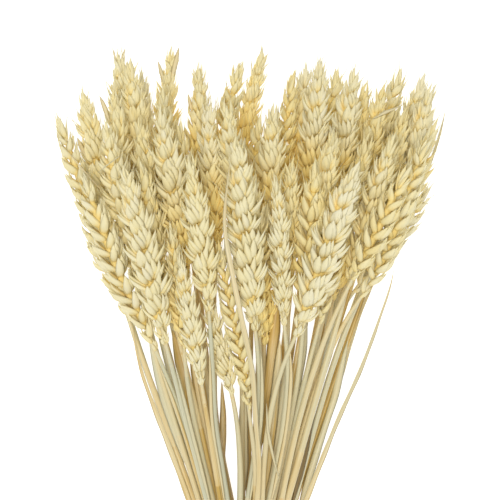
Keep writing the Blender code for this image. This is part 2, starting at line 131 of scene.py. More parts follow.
# Sizes along the bunch, from the middle of the twine
MM = 0.001
CUT_END = -0.200
CUT_SPREAD = 0.006
LEAF_END = -0.026
TIE_HALF_LENGTH = 0.008

# How the bunch opens: how far towards the twine's wall the stalks and the leaves pass through
# it, the half width and middle height of the fan that they open into, how soon they bend, how
# much of its stalk's rise an ear keeps, and how much wider the cut ends stand than the twine.
STALK_SLOT_SHARE = 0.8
LEAF_SLOT_SHARE = 0.9
FAN_HALF_WIDTH = 0.100
FAN_MIDDLE_HEIGHT = 0.045
FIRST_SPREAD = 0.75
EAR_RISE_SHARE = 0.5
LEAF_LEVEL_FROM = 0.160
CUT_SPLAY = 1.7

# The stalks' room in the CAD model
STEM_RADIUS = 0.00150

# Ears: the half width at shares of the length from the base, against the widest
EAR_SHARES = (-0.02, 0.0, 0.16, 0.4, 0.75, 1.0)
EAR_WIDTHS = (0.2, 0.5, 0.92, 1.0, 0.9, 0.4)

# The twine: turns side by side, wound on the bundle of stems, pressed flat on the table
TIE_INNER_RADIUS = 0.0148
TWINE_RADIUS = 0.0013
TWINE_TURNS = 5
TIE_FLAT_DEPTH = 0.0005
TIE_OUTER_RADIUS = TIE_INNER_RADIUS + 2 * TWINE_RADIUS
TIE_HEIGHT = TIE_OUTER_RADIUS - TIE_FLAT_DEPTH

# How the stalks settle against each other
KNOTS = np.array(
    [-0.210, -0.060, -0.010, 0.010, 0.032, 0.055, 0.080, 0.105, 0.130]
    + [0.155, 0.180, 0.205, 0.230, 0.255, 0.280, 0.312]
)
SLICE_STEP = 0.006
CLEARANCE = 0.0005
TABLE_PRESS = 0.74
SETTLING_STEPS = 700
FREE_STEPS = 250
PUSH_SHARE = 1.5
RETURN_SHARE = 0.015
SMOOTHING = 0.1
SEED = 11

# Spikelets: how far apart they sit, where in that length each one is, and how big they are at
# shares of the ear's length. Part of a husk's size is fixed, part goes with its ear's width, and
# its girth goes with a power of that width besides.
SPIKELET_PITCH = 0.0037
SPIKELET_PLACE = 0.3
SPIKELET_SIZES = (0.0, 0.12, 0.28, 0.75, 1.0), (0.45, 0.75, 1.0, 1.0, 0.74)
EAR_TOP_LENGTH = 0.0125
EAR_TYPICAL_HALF_WIDTH = 0.0065
FIXED_SIZE, SIZE_BY_WIDTH = 0.55, 0.45
GIRTH_POWER = 0.4

# How far out a spikelet stands: its ear's half width a little above it, and less at the foot.
# Spikelets open towards the tip, and each second pair swings to the other side of the rows.
WIDTH_AHEAD = 0.05
FOOT_WIDTHS = (0.0, 0.12, 0.26), (0.35, 0.65, 1.0)
OPENINGS = (0.75, 1.0), (0.0, 0.3)
SPIKELET_SWING = 0.16

# The husks of a spikelet. Each line holds the hand that the husk is on (1 or -1), then its base,
# belly and tip, each as how far up the ear it is in mm and how far OUT along the rows and DEEP
# across them, both as shares of the ear's half width there. Then come the way that the husk
# faces (out, deep), its half width and thickness in mm, and how keeled it is.
SPIKELET = (
    (1, (-1.8, -0.02, 0.26), (1.8, 0.54, 0.84), (6.4, 0.74, 1.00), (0.40, 0.92), 2.15, 1.50, 0.5),
    (-1, (-1.8, -0.02, 0.26), (1.8, 0.54, 0.84), (6.4, 0.74, 1.00), (0.40, 0.92), 2.15, 1.50, 0.5),
    (1, (-0.8, 0.20, 0.16), (2.8, 0.82, 0.60), (7.8, 0.92, 0.90), (0.60, 0.80), 1.90, 1.45, 0.5),
    (-1, (-1.2, 0.20, 0.16), (2.4, 0.82, 0.60), (7.2, 0.94, 0.86), (0.60, 0.80), 1.90, 1.45, 0.5),
    (1, (0.2, 0.30, 0.03), (3.9, 0.94, 0.28), (9.0, 1.00, 0.46), (0.80, 0.60), 1.90, 1.55, 0.4),
    (-1, (-0.4, 0.30, 0.10), (3.1, 0.92, 0.36), (8.1, 0.98, 0.54), (0.80, 0.60), 1.75, 1.45, 0.4),
    (1, (1.6, 0.32, -0.10), (5.4, 0.94, -0.04), (10.6, 1.00, 0.06), (1.0, 0.02), 1.85, 1.45, 0.3),
)

# The husks at the very tip of an ear, in the same terms but without a hand
TOP_HUSKS = (
    ((-2.0, 0.20, 0.10), (3.0, 1.00, 0.30), (7.5, 1.50, 0.45), (1.0, 0.2), 1.20, 0.80, 0.5),
    ((-2.0, -0.20, -0.10), (3.0, -1.0, -0.3), (8.2, -1.4, -0.4), (-1.0, -0.2), 1.20, 0.80, 0.5),
    ((-0.5, 0.05, 0.15), (5.0, 0.25, 0.65), (11.8, 0.35, 0.30), (0.1, 1.0), 1.55, 1.00, 0.4),
    ((-0.5, -0.05, -0.15), (4.5, -0.3, -0.7), (10.4, -0.5, -0.5), (-0.1, -1.0), 1.45, 1.00, 0.4),
    ((-1.0, 0.10, 0.20), (3.5, 0.30, 0.90), (8.5, 0.45, 1.30), (0.2, 1.0), 1.20, 0.80, 0.5),
    ((-1.0, -0.10, -0.20), (3.0, -0.2, -1.0), (7.8, -0.3, -1.4), (-0.2, -1.0), 1.20, 0.80, 0.5),
)

# How much single spikelets and husks stray from this. Rises and places are in metres, and the
# other sways are shares: of a size, of the ear's half width or of the range of tones.
SPIKELET_TILT_SWAY = 0.08
SPIKELET_OPEN_SWAY = 0.06
SPIKELET_SIZE_SWAY = 0.06
SPIKELET_PLACE_SWAY = 0.0005
TOP_TILT_SWAY = 0.2
HUSK_SWAY = 0.09
HUSK_RISE_SWAY = 0.0006
HUSK_SIZE_SWAY = 0.09
HUSK_TONE_SWAY = 0.075
BASE_SWAY_SHARE = 0.3
EAR_TONE_SWAY = 0.06

# A husk's half width and thickness along its length, against its widest
HUSK_RISE = np.array([0.0, 0.14, 0.34, 0.57, 0.78, 0.94])
HUSK_WIDTH = np.array([0.55, 0.90, 1.0, 0.89, 0.57, 0.18])
HUSK_THICKNESS = np.array([0.50, 0.92, 1.0, 0.84, 0.50, 0.16])
HUSK_SIDES = 6
HUSK_BACK_SHARE = 0.40

# At shares of an ear's length: how far its foot and tip count as outside, so that they take none of
# the painted crevice shade, and how much of the painted shade from crowding is kept, less towards
# the tip
OUTER_LEAST = (0.14, 0.30, 0.72, 0.86), (1.0, 0.0, 0.0, 1.0)
CROWD_SHADE_KEPT = (0.30, 0.85), (1.0, 0.25)

# The heart of an ear: the grain and inner husks that fill it, against its half width, how much it
# narrows at its foot and top, and its markings. Its dark gold tone is partly its own colour and
# partly painted shade of the seam between the rows, and its along and outness marks give it part of
# the painted gold shade.
HEART_OUT = 0.30
HEART_DEEP = 0.42
HEART_SIDES = 8
HEART_STEP = 0.005
HEART_ENDS = (0.3, 0.4)
HEART_ALONG, HEART_TONE_AND_SHADE, HEART_SHADE_OUTNESS = 0.3, 0.72, 0.62

# Awns: the fine bristles that some husks end in, more and longer in the upper part of the ear.
# They start a little inside the husk, and each one's own side is square to AWN_LEVEL.
AWN_RADIUS = 0.00021
AWN_SIDES = 3
AWN_RINGS = 4
AWN_UPPER_SHARE = 0.62
AWN_UPPER_CHANCE, AWN_LOWER_CHANCE = 0.55, 0.30
AWN_LENGTHS = (0.0022, 0.0090)
AWN_LOWER_LENGTHS = (0.0010, 0.0030)
AWN_LENGTH_POWER, AWN_TAPER_POWER = 1.6, 0.7
AWN_WAY_SWAY, AWN_BEND_SWAY = 0.12, 0.18
AWN_ROOT = 0.0006
AWN_LEVEL = (0.2, 0.1, 1.0)
AWN_ALONG, AWN_TONE = 0.9, 0.35

# Straws: radius, neck, the axis that runs on up the ear, the bore of the cut end and the tones
STRAW_SIDES = 10
STRAW_STEP = 0.006
STRAW_RADII = (0.00130, 0.00180)
STRAW_NECK_RADIUS = 0.00095
STRAW_NECK_LENGTH = 0.045
RACHIS_RADIUS = 0.0009
RACHIS_START, RACHIS_FADE = 0.012, 0.01
STRAW_BORE_SHARE = 0.62
STRAW_BORE_DEPTH = 0.006
STRAW_TONE_ODDS, STRAW_TONE_LIMITS = (1.6, 2.7), (0.02, 0.98)
STRAW_TONE_MOST = 0.9
RACHIS_TONE = 0.45

# The joint of a straw, with rings at these places against its length, and the sheath above it
JOINT_SWELL = 0.00032
JOINT_LENGTH = 0.0022
JOINT_RINGS = (-1.5, -1.0, -0.5, 0.0, 0.5, 1.0, 1.5)
JOINT_SHARPNESS = 2.5
JOINT_TONE = 0.30
JOINTS_FROM = (-0.150, 0.080)
SHEATH_THICKNESS = 0.00014
SHEATH_LENGTHS = (0.050, 0.085)
SHEATH_EDGE = 0.0004

# Loose sheaths, thin strips and spikes, which lie along some stalks or stand out from their
# ears. Each line holds the stalk, points from the top down (down the picture, and how far across
# from the stalk), the half width and the height above the stalk in mm, and the tone.
LOOSE_SHEATHS = (
    (12, ((296, 13), (350, 8), (400, 4), (455, 0)), 3.0, -1.0, 0.86),
    (54, ((340, -2), (400, -4), (470, -2)), 2.0, -3.0, 0.30),
    (53, ((335, 2), (380, 1), (450, 0)), 2.6, -4.0, 0.60),
    (42, ((385, 1), (440, 1), (505, 0)), 2.6, -2.0, 0.34),
    (16, ((312, 3), (360, 5), (400, 5), (450, 2)), 2.3, -4.0, 0.30),
    (14, ((340, -8), (400, -8), (440, -6), (495, -3)), 2.6, 2.0, 0.66),
    (41, ((350, -1), (400, 0), (455, 0)), 3.1, 0.5, 0.80),
    (49, ((332, -1), (390, 0), (470, 0)), 3.0, 0.5, 0.80),
    (47, ((340, 0), (400, 0), (480, 0)), 2.6, 0.5, 0.76),
    (32, ((325, 1), (400, 0), (470, 0)), 2.6, 0.5, 0.84),
    (27, ((416, -5), (450, -3), (510, -1)), 1.9, 1.5, 1.10),
    (41, ((384, 15), (412, 12), (440, 7), (475, 1)), 1.7, 5.0, 0.68),
    (1, ((148, -3), (170, 8), (194, 21)), 0.5, 6.0, 0.55),
    (54, ((154, 12), (164, -4), (174, -18)), 0.35, 7.0, 0.30),
    (31, ((104, 23), (109, 13), (113, 3), (119, -5)), 1.1, 6.5, 0.40),
    (2, ((365, -3), (430, -3), (510, -2)), 1.0, 0.8, 0.66),
    (3, ((366, 4), (430, 3), (510, 2)), 1.1, 0.8, 0.30),
    (46, ((350, 3), (430, 3), (510, 3)), 1.2, 0.8, 0.72),
    (7, ((352, -2), (430, -3), (510, -3)), 1.0, 0.8, 0.50),
    (10, ((352, 3), (430, 3), (510, 2)), 1.1, 0.8, 0.34),
    (13, ((345, 3), (430, 3), (510, 2)), 1.0, 0.8, 0.62),
    (48, ((57, -12), (68, -8), (84, -2)), 1.1, 1.0, 0.62),
    (48, ((43, 8), (52, 7), (66, 5), (80, 3)), 1.5, 1.0, 0.62),
    (51, ((43, -7), (52, -5), (64, -2)), 0.6, 1.0, 0.62),
    (51, ((44, 6), (53, 3), (64, 0)), 0.6, 1.0, 0.62),
    (52, ((95, -15), (106, -11), (124, -7)), 1.3, 0.0, 0.62),
    (44, ((92, -11), (102, -9), (114, -5)), 1.2, 0.0, 0.72),
    (55, ((136, -14), (146, -12), (158, -8)), 1.4, 0.0, 0.62),
    (28, ((342, 0), (400, 6), (450, 6), (520, 7)), 2.1, 0.0, 0.38),
    (15, ((402, -6), (430, 0), (455, 8), (482, 17)), 0.8, 1.0, 0.40),
)
LOOSE_STEP = 0.004
LOOSE_FOLD = -0.45
LOOSE_TAPER, LOOSE_TAPER_SHARE = 0.018, 0.4
LOOSE_END_WIDTH = 0.08
LOOSE_TWIST, LOOSE_WAVE = (0.25, 30), (0.07, 170)

# Loose sheaths wider than this, in mm, take painted shade from this share of their crowding
CROWDED_HALF_WIDTH = 1.5
LOOSE_SHADE_SHARE = 0.5

# The corners of a thin strip: across it, against its half width, and through its thickness.
# The width narrows by a power towards the ends, and the thickness to a least share. A twist
# (radians) and a wave (of the width) each hold how much there is of it and its rate along Y.
STRIP_ACROSS = np.array([1.0, 0.5, 0.0, -0.5, -1.0, -0.5, 0.0, 0.5])
STRIP_SHELL = np.array([0.0, 0.5, 0.5, 0.5, 0.0, -0.5, -0.5, -0.5])
STRIP_THICKNESS = 0.00022
STRIP_END_THICKNESS = 0.3
STRIP_TAPER_POWER = 0.6
ANY_PHASE = (0, 6)

# Leaf blades
BLADE_HALF_WIDTH = 0.00135
BLADE_FOLD = 0.55
BLADE_TAPER_LENGTH = 0.050
BLADE_STEP, BLADE_LEAST_STEP = 0.003, 0.001
BLADE_END_WIDTH = 0.05
BLADE_TWIST, BLADE_WAVE, BLADE_WAVE_PHASE = (0.5, 22), (0.08, 300), 1
BLADE_LEAN = (-0.3, 0.3)
BLADE_TONES = (0.2, 0.6)

# Twine: three yarns laid round each other, whose ends are tucked under
YARNS = 3
YARN_RADIUS = 0.00062
YARN_OFFSET = 0.00062
YARN_SIDES = 7
YARN_LAY = 0.0065
YARN_STEPS_A_TURN = 132
YARN_TONE_STEP = 0.3
TWINE_TUCK_ANGLE = 0.5
TWINE_TUCK_DEPTH = 0.0016

# How often the stripes of straw change along it, and its material's number on a stalk's piece
STRIPE_RATE = 4
STRAW_LOOK = 1

# Colours, linear, and the tone of the husks of each finish, from pale at 0 to brown at 1
WHITE = (1.0, 1.0, 1.0, 1.0)
HUSK_PALE = (0.86, 0.80, 0.56, 1.0)
HUSK_CREAM = (0.87, 0.78, 0.46, 1.0)
HUSK_GOLD = (0.87, 0.70, 0.285, 1.0)
HUSK_BROWN = (0.66, 0.42, 0.13, 1.0)
# Warm gold painted as shade in the ears' crevices and where other stalks cover the husks, and
# partly the husk bases' own gold
HUSK_SHADE_AND_BASE_GOLD = (1.0, 0.78, 0.27, 1.0)
TONE_OF_SLOT = {PALE: 0.08, CREAM: 0.26, GOLD: 0.42}
STRAW_GREY = (0.60, 0.59, 0.41, 1.0)
STRAW_CREAM = (0.71, 0.64, 0.395, 1.0)
STRAW_PEACH = (0.78, 0.64, 0.345, 1.0)
STRAW_TAN = (0.64, 0.42, 0.10, 1.0)
STRAW_BROWN = (0.22, 0.15, 0.05, 1.0)
# Tan painted as shade where other stalks cover a straw
STRAW_PAINTED_SHADE = (0.60, 0.41, 0.12, 1.0)
JUTE_LIGHT = (0.50, 0.35, 0.19, 1.0)
JUTE_DARK = (0.24, 0.15, 0.07, 1.0)
FLOOR_COLOUR = (0.60, 0.60, 0.60, 1.0)

# The colour at each tone, between which it changes evenly
HUSK_STOPS = ((0.0, HUSK_PALE), (0.36, HUSK_CREAM), (0.68, HUSK_GOLD), (1.0, HUSK_BROWN))
STRAW_STOPS = ((0.05, STRAW_GREY), (0.36, STRAW_CREAM), (0.64, STRAW_PEACH))
STRAW_STOPS += ((0.84, STRAW_TAN), (1.0, STRAW_BROWN))
JUTE_STOPS = ((0.28, JUTE_DARK), (0.72, JUTE_LIGHT))

# What the values of a soft noise mostly lie between
NOISE_RANGE = (0.2, 0.8)

# Where the camera stands: above the part of the bunch that the picture shows
PICTURE_UNITS = 500
PICTURE_MIDDLE = 250
CAMERA_HEIGHT = 2.05
CAMERA_AIM_HEIGHT = 0.05
SENSOR_WIDTH = 36.0

# The stage: a floor that looks white, an even sky and one soft light near the camera
FLOOR_SIZE = 12.0
FLOOR_ROUGHNESS = 0.9
FLOOR_SPECULAR = 0.1
FLOOR_GLOW = 0.85
WORLD_STRENGTH = 0.48
KEY_PLACE = (-0.12, -0.05, 2.4)
KEY_SIZE = 0.7
KEY_POWER = 31.5

# What lies lower than this is pressed together above the table
PRESS_HEIGHT = 0.002

# Where the draws of the stalks and of the blades start
LOOKS_SEED = 407
BLADES_SEED = 507

# Where the crowding of a strand is felt: this many places along it, on the sides at these angles
# from straight up
CROWD_STEPS = 60
CROWD_TURNS = np.radians((-90.0, -45.0, 0.0, 45.0, 90.0))
TINY = 1e-7

# One husk of an ear, or an array of each value over all of them: where its spikelet is, on which
# side of the ear (1 or -1), its hand, its size, the ear's half width and the share of its length
# there, how far it tilts and opens, and then what its line of the tables above says
Husk = namedtuple(
    "Husk",
    "y side hand size width share tilt opened"
    " base belly tip facing half_width thickness keel",
)


def across(units):
    """The X of a place on the picture's grid."""
    return (units - TIE_ACROSS) * GRID_UNIT


def along(units):
    """The Y of a place on the picture's grid."""
    return (TIE_DOWN - units) * GRID_UNIT


def ease(start, end, slope_start, slope_end, share, length):
    """A smooth cubic from start to end, share 0 to 1, with the given slopes at its ends."""
    s2, s3 = share**2, share**3
    return (
        (2 * s3 - 3 * s2 + 1) * start
        + (s3 - 2 * s2 + share) * length * slope_start
        + (3 * s2 - 2 * s3) * end
        + (s3 - s2) * length * slope_end
    )


def ear_fullness(share):
    """The ear's half width at a share of its length from the base, against its widest."""
    return np.interp(share, EAR_SHARES, EAR_WIDTHS)


def stalk_course(base, tip, slot):
    """Where one stalk would lie at each knot if nothing were in its way, as X and Z."""
    (x_base, y_base, z_base), (x_tip, y_tip, z_tip) = base, tip
    x_slot, z_slot = slot
    runs = ((x_slot, x_base, x_tip), (z_slot, z_base, z_tip))
    slot_middle = np.array([0.0, TIE_HEIGHT])
    course = np.empty((len(KNOTS), 2))
    for k, y in enumerate(KNOTS):
        for axis, (start, end, far) in enumerate(runs):
            lean = (far - end) / (y_tip - y_base)
            if y >= y_base:
                course[k, axis] = end + lean * (y - y_base)
            elif y > 0:
                spread = (end - start) / y_base
                first = FIRST_SPREAD * spread
                course[k, axis] = ease(start, end, first, lean, y / y_base, y_base)
            else:
                course[k, axis] = start
    course[0] = slot_middle + CUT_SPLAY * (np.array(slot) - slot_middle)
    return course


class Strand:
    """A stalk or a leaf blade: where it starts and ends along Y, its course and its girth."""

    def __init__(self, name, tone, y_start, y_base, y_tip, half_width, turn):
        self.name = name
        self.tone = tone
        self.y_start = y_start
        self.y_base = y_base
        self.y_tip = y_tip
        self.half_width = half_width
        self.turn = math.radians(turn)
        self.course = None

    def girth(self, y):
        """The radius that the strand takes up at each y, or 0 where there is none."""
        share = (y - self.y_base) / max(self.y_tip - self.y_base, 1e-6)
        stem = np.where((y > self.y_start - SLICE_STEP) & (y < self.y_tip), STEM_RADIUS, 0.0)
        ear = np.where(
            (share > EAR_SHARES[0]) & (y < self.y_tip + SLICE_STEP),
            self.half_width * ear_fullness(share),
            0.0,
        )
        return np.maximum(stem, ear)

    def drop(self, y):
        """How far down the strand reaches from its course at each y, once pressed on the table."""
        return np.maximum(STEM_RADIUS, self.girth(y) * TABLE_PRESS)

    def centres(self, ys):
        """The strand's centre at each y, on a smooth curve through its knots."""
        k = np.clip(np.searchsorted(KNOTS, ys) - 1, 0, len(KNOTS) - 2)
        gap = (KNOTS[k + 1] - KNOTS[k])[:, None]
        slopes = np.gradient(self.course, KNOTS, axis=0)
        share = (ys - KNOTS[k])[:, None] / gap
        places = ease(
            self.course[k], self.course[k + 1], slopes[k], slopes[k + 1], share, gap
        )
        return np.column_stack((places[:, 0], ys, places[:, 1]))

    def frames(self, ys):
        """At each y: the centre, and the directions forward, along the rows and across them."""
        step = 0.002
        forward = unit(self.centres(ys + step) - self.centres(ys - step))
        side = unit(np.cross(forward, (0.0, 0.0, 1.0)))
        up = np.cross(side, forward)
        row = side * math.cos(self.turn) + up * math.sin(self.turn)
        return self.centres(ys), forward, row, np.cross(row, forward)


def wheat_strands(rng):
    """The stalks, each on the course it would take if nothing were in its way."""
    strands = []
    for number, (tip_a, tip_d, base_a, base_d, height, half_width, turn, tone) in enumerate(EARS):
        middle = Vector((across((tip_a + base_a) / 2), along((tip_d + base_d) / 2), height * MM))
        rise = EAR_RISE_SHARE * (middle.z - TIE_HEIGHT) / middle.y
        y_base, y_tip = along(base_d), along(tip_d)
        base = (across(base_a), y_base, middle.z + rise * (y_base - middle.y))
        tip = (across(tip_a), y_tip, middle.z + rise * (y_tip - middle.y))
        lift = (middle.z - FAN_MIDDLE_HEIGHT) / FAN_MIDDLE_HEIGHT
        toward = Vector((middle.x / FAN_HALF_WIDTH, lift))
        slot = toward * (STALK_SLOT_SHARE * TIE_INNER_RADIUS / max(1.0, toward.length))
        slot = (slot.x, TIE_HEIGHT + slot.y)
        y_start = CUT_END + rng.uniform(-CUT_SPREAD, CUT_SPREAD)
        name = f"stalk_{number + 1:02d}"
        strand = Strand(name, tone, y_start, y_base, y_tip, half_width * MM, turn)
        strand.course = stalk_course(base, tip, slot)
        strands.append(strand)
    return strands


def leaf_strands():
    """The leaf blades, each on the course it would take if nothing were in its way."""
    strands = []
    for number, (points, height, tone) in enumerate(LEAVES):
        ys = [along(down) for _, down in reversed(points)]
        xs = [across(a) for a, _ in reversed(points)]
        toward = Vector((xs[0], height * MM - TIE_HEIGHT)).normalized()
        slot = toward * (LEAF_SLOT_SHARE * TIE_INNER_RADIUS)
        ys = [0.0, *ys]
        xs = [slot.x, *xs]
        ends = (TIE_HEIGHT + slot.y, height * MM)
        heights = np.interp(KNOTS, (0.0, LEAF_LEVEL_FROM), ends)
        strand = Strand(f"leaf_{number + 1}", tone, LEAF_END, ys[-1], ys[-1], 0.0, 0.0)
        strand.course = np.column_stack((np.interp(KNOTS, ys, xs), heights))
        strands.append(strand)
    return strands


def knot_weights(slices):
    """Weights that turn values at the knots into values at the slices, along straight lines."""
    weights = np.zeros((len(slices), len(KNOTS)))
    for row, y in enumerate(slices):
        k = int(np.clip(np.searchsorted(KNOTS, y) - 1, 0, len(KNOTS) - 2))
        share = (y - KNOTS[k]) / (KNOTS[k + 1] - KNOTS[k])
        weights[row, k : k + 2] = 1 - share, share
    return weights


def settle(strands):
    """Moves the courses until no strand lies in another, the table, the twine or the parting.

    Each slice across the bunch is a plane of discs that push each other away. What a disc is
    pushed by is shared between the knots on both sides of it, so a strand bends smoothly.
    """
    slices = np.arange(CUT_END - CUT_SPREAD, KNOTS[-1], SLICE_STEP)
    weights = knot_weights(slices)
    reach = weights.sum(axis=0)
    wished = np.array([s.course for s in strands])
    slope = np.gradient(wished, KNOTS, axis=1)
    slant = np.sqrt(1 + (slope**2).sum(axis=2)) @ weights.T
    girth = (np.array([s.girth(slices) for s in strands]) * slant).T
    drop = np.array([s.drop(slices) for s in strands]).T
    there = girth > 0
    needed = girth[:, :, None] + girth[:, None, :] + CLEARANCE
    pairs = there[:, :, None] & there[:, None, :] & ~np.eye(len(strands), dtype=bool)
    tied = np.abs(slices) <= TIE_HALF_LENGTH + SLICE_STEP
    middle = np.array([0.0, TIE_HEIGHT])
    downs = [along(down) for _, down, _ in reversed(PARTING)]
    gap_middle = np.interp(slices, downs, [across(a) for a, _, _ in reversed(PARTING)])
    gap_half = np.interp(slices, downs, [half * GRID_UNIT for _, _, half in reversed(PARTING)])
    parted = gap_half > 0
    widest = np.argmax(gap_half)
    sides = np.sign(wished[:, :, 0] @ weights[widest] - gap_middle[widest])
    courses = wished.copy()
    for step in range(SETTLING_STEPS):
        places = np.einsum("sk,nkc->snc", weights, courses)
        apart = places[:, :, None, :] - places[:, None, :, :]
        distance = np.sqrt((apart**2).sum(axis=3)) + 1e-9
        short = np.where(pairs, np.maximum(needed - distance, 0), 0)
        push = (apart * (0.5 * short / distance)[..., None]).sum(axis=2)
        push[..., 1] += np.where(there, np.maximum(drop - places[..., 1] - push[..., 1], 0), 0)
        aside = (places[parted, :, 0] - gap_middle[parted, None]) * sides
        over = np.maximum(gap_half[parted, None] + girth[parted] - aside, 0) * there[parted]
        push[parted, :, 0] += sides * over
        offset = places[tied] + push[tied] - middle
        away = np.sqrt((offset**2).sum(axis=2)) + 1e-9
        over = np.maximum(away + girth[tied] + CLEARANCE - TIE_INNER_RADIUS, 0) * there[tied]
        push[tied] -= offset * (over / away)[..., None]
        courses += PUSH_SHARE * np.einsum("sk,snc->nkc", weights, push) / reach[None, :, None]
        if step < SETTLING_STEPS - FREE_STEPS:
            strayed = courses - wished
            smooth = strayed.copy()
            smooth[:, 1:-1] = (strayed[:, :-2] + strayed[:, 2:]) / 2
            mixed = (1 - SMOOTHING) * strayed + SMOOTHING * smooth
            courses = wished + (1 - RETURN_SHARE) * mixed
    for strand, course in zip(strands, courses, strict=True):
        strand.course = course


def unit(vectors):
    """The vectors at length 1."""
    return vectors / np.linalg.norm(vectors, axis=-1, keepdims=True)


def shell_triangles(rings, sides):
    """The triangles of a closed shell: rings of corners, then one point at each of its ends."""
    ring, side = np.meshgrid(np.arange(rings - 1), np.arange(sides), indexing="ij")
    here = (ring * sides + side).ravel()
    beside = (ring * sides + (side + 1) % sides).ravel()
    first = np.column_stack((here, beside, beside + sides))
    second = np.column_stack((here, beside + sides, here + sides))
    side = np.arange(sides)
    after = (side + 1) % sides
    last = (rings - 1) * sides
    foot = np.column_stack((after, side, np.full(sides, rings * sides)))
    head = np.column_stack((last + side, last + after, np.full(sides, rings * sides + 1)))
    return np.concatenate((first, second, foot, head))


def rest_on_table(heights):
    """Heights with what lies low pressed together above the table, none of it turned over."""
    pressed = PRESS_HEIGHT * np.exp(heights / PRESS_HEIGHT - 1)
    return np.where(heights < PRESS_HEIGHT, pressed, heights)


def new_object(name, data):
    """A new object in the scene."""
    obj = bpy.data.objects.new(name, data)
    bpy.context.scene.collection.objects.link(obj)
    return obj


class Skin:
    """The corners, triangles and markings of one piece, gathered shell by shell.

    Each corner is marked with how far along its shell it is (0 to 1), how far across (-1 to 1), the
    tone of its shell (0 pale to 1 brown), how far out it stands from the middle of the ear (0 to
    1), or, on a straw, whether it is on a sheath, and how far the other stalks cover it (0 to 1).
    An ear's outness and the cover set where the materials paint shade.
    """

    MARKS = ("along", "across", "tone", "outness", "crowding")

    def __init__(self):
        self.points = []
        self.triangles = []
        self.marks = []
        self.looks = []
        self.count = 0

    def add(self, points, rings, sides, marks, look=0):
        """Adds shells of so many rings and sides: their points by shell and corner, and marks.

        A mark is one value for all, or one for each corner, each shell or both. The look is the
        number of their material.
        """
        triangles = shell_triangles(rings, sides)
        shells, corners = points.shape[:2]
        offsets = self.count + corners * np.arange(shells)
        self.points.append(points.reshape(-1, 3))
        self.triangles.append((triangles[None] + offsets[:, None, None]).reshape(-1, 3))
        spread = [np.broadcast_to(mark, (shells, corners)).ravel() for mark in marks]
        self.marks.append(np.array(spread))
        self.looks.append(np.full(shells * len(triangles), look, dtype=np.int32))
        self.count += shells * corners

    def piece(self, name, materials):
        """The finished piece, as an object in the scene."""
        points = np.concatenate(self.points)
        points[:, 2] = rest_on_table(points[:, 2])
        triangles = np.concatenate(self.triangles)
        mesh = bpy.data.meshes.new(name)
        mesh.vertices.add(len(points))
        mesh.vertices.foreach_set("co", points.ravel())
        mesh.loops.add(triangles.size)
        mesh.loops.foreach_set("vertex_index", triangles.ravel().astype(np.int32))
        mesh.polygons.add(len(triangles))
        starts = np.arange(0, triangles.size, 3, dtype=np.int32)
        mesh.polygons.foreach_set("loop_start", starts)
        mesh.polygons.foreach_set("material_index", np.concatenate(self.looks))
        mesh.update(calc_edges=True)
        mesh.shade_smooth()
        for mark, values in zip(self.MARKS, np.concatenate(self.marks, axis=1), strict=True):
            attribute = mesh.attributes.new(mark, "FLOAT", "POINT")
            attribute.data.foreach_set("value", values.astype(np.float32))
        for material in materials:
            mesh.materials.append(material)
        return new_object(name, mesh)


def ring(sides):
    """How far across and how far up each corner of a ring of radius 1 is."""
    turns = math.tau * np.arange(sides) / sides
    return np.cos(turns), np.sin(turns)


def close_shells(lines, side_way, up_way, widths, heights, foot, head):
    """Closed shells along lines: each ring's corners by their width and height from its middle.

    The points foot and head close each shell at its ends.
    """
    rings = (
        lines[..., None, :]
        + side_way[..., None, :] * widths[..., None]
        + up_way[..., None, :] * heights[..., None]
    )
    return np.concatenate((rings.reshape(len(rings), -1, 3), foot, head), axis=1)


def sweep(line, side_way, up_way, widths, heights):
    """One closed shell along a line, whose own two end points close it."""
    lines = line[None]
    return close_shells(lines, side_way, up_way, widths, heights, lines[:, :1], lines[:, -1:])


def shell_marks(along, across):
    """The along and across marks of one shell's corners, with its two end points."""
    rings, sides = len(along), len(across)
    marks_along = np.concatenate((np.repeat(along, sides), along[:1], along[-1:]))
    marks_across = np.concatenate((np.tile(across, rings), (0.0, 0.0)))
    return marks_along, marks_across


def grow_husks(base, belly, tip, facing, half_width, thickness, keel):
    """The corners of one shell for each husk: it bows from its base over its belly to its tip."""
    rise = HUSK_RISE[None, :, None]
    base, belly, tip = base[:, None], belly[:, None], tip[:, None]
    centre = (1 - rise) ** 2 * base + 2 * rise * (1 - rise) * belly + rise**2 * tip
    forward = unit((1 - rise) * (belly - base) + rise * (tip - belly))
    outward = facing[:, None]
    outward = unit(outward - forward * (outward * forward).sum(axis=2, keepdims=True))
    across, up = ring(HUSK_SIDES)
    ridge = np.abs(up[None]) ** (1 + keel[:, None]) * np.sign(up)
    ridge = np.where(up > 0, ridge, HUSK_BACK_SHARE * up)
    widths = half_width[:, None, None] * HUSK_WIDTH[None, :, None] * across
    heights = thickness[:, None, None] * HUSK_THICKNESS[None, :, None] * ridge[:, None]
    side = np.cross(outward, forward)
    return close_shells(centre, side, outward, widths, heights, base, tip)


def grow_awns(starts, ways, lengths, bends):
    """The corners of one slim cone for each awn, which bends a little as it goes."""
    share = np.linspace(0.0, 1.0, AWN_RINGS + 1)
    starts, ways, bends = starts[:, None], ways[:, None], bends[:, None]
    reach = ways * share[None, :, None] + bends * (share**2)[None, :, None]
    centre = starts + lengths[:, None, None] * reach
    forward = unit(ways)
    side = unit(np.cross(forward, AWN_LEVEL))
    across, up = ring(AWN_SIDES)
    radii = AWN_RADIUS * (1 - share[:-1, None]) ** AWN_TAPER_POWER
    up_way = np.cross(forward, side)
    return close_shells(
        centre[:, :-1], side, up_way, radii * across, radii * up, starts, centre[:, -1:]
    )


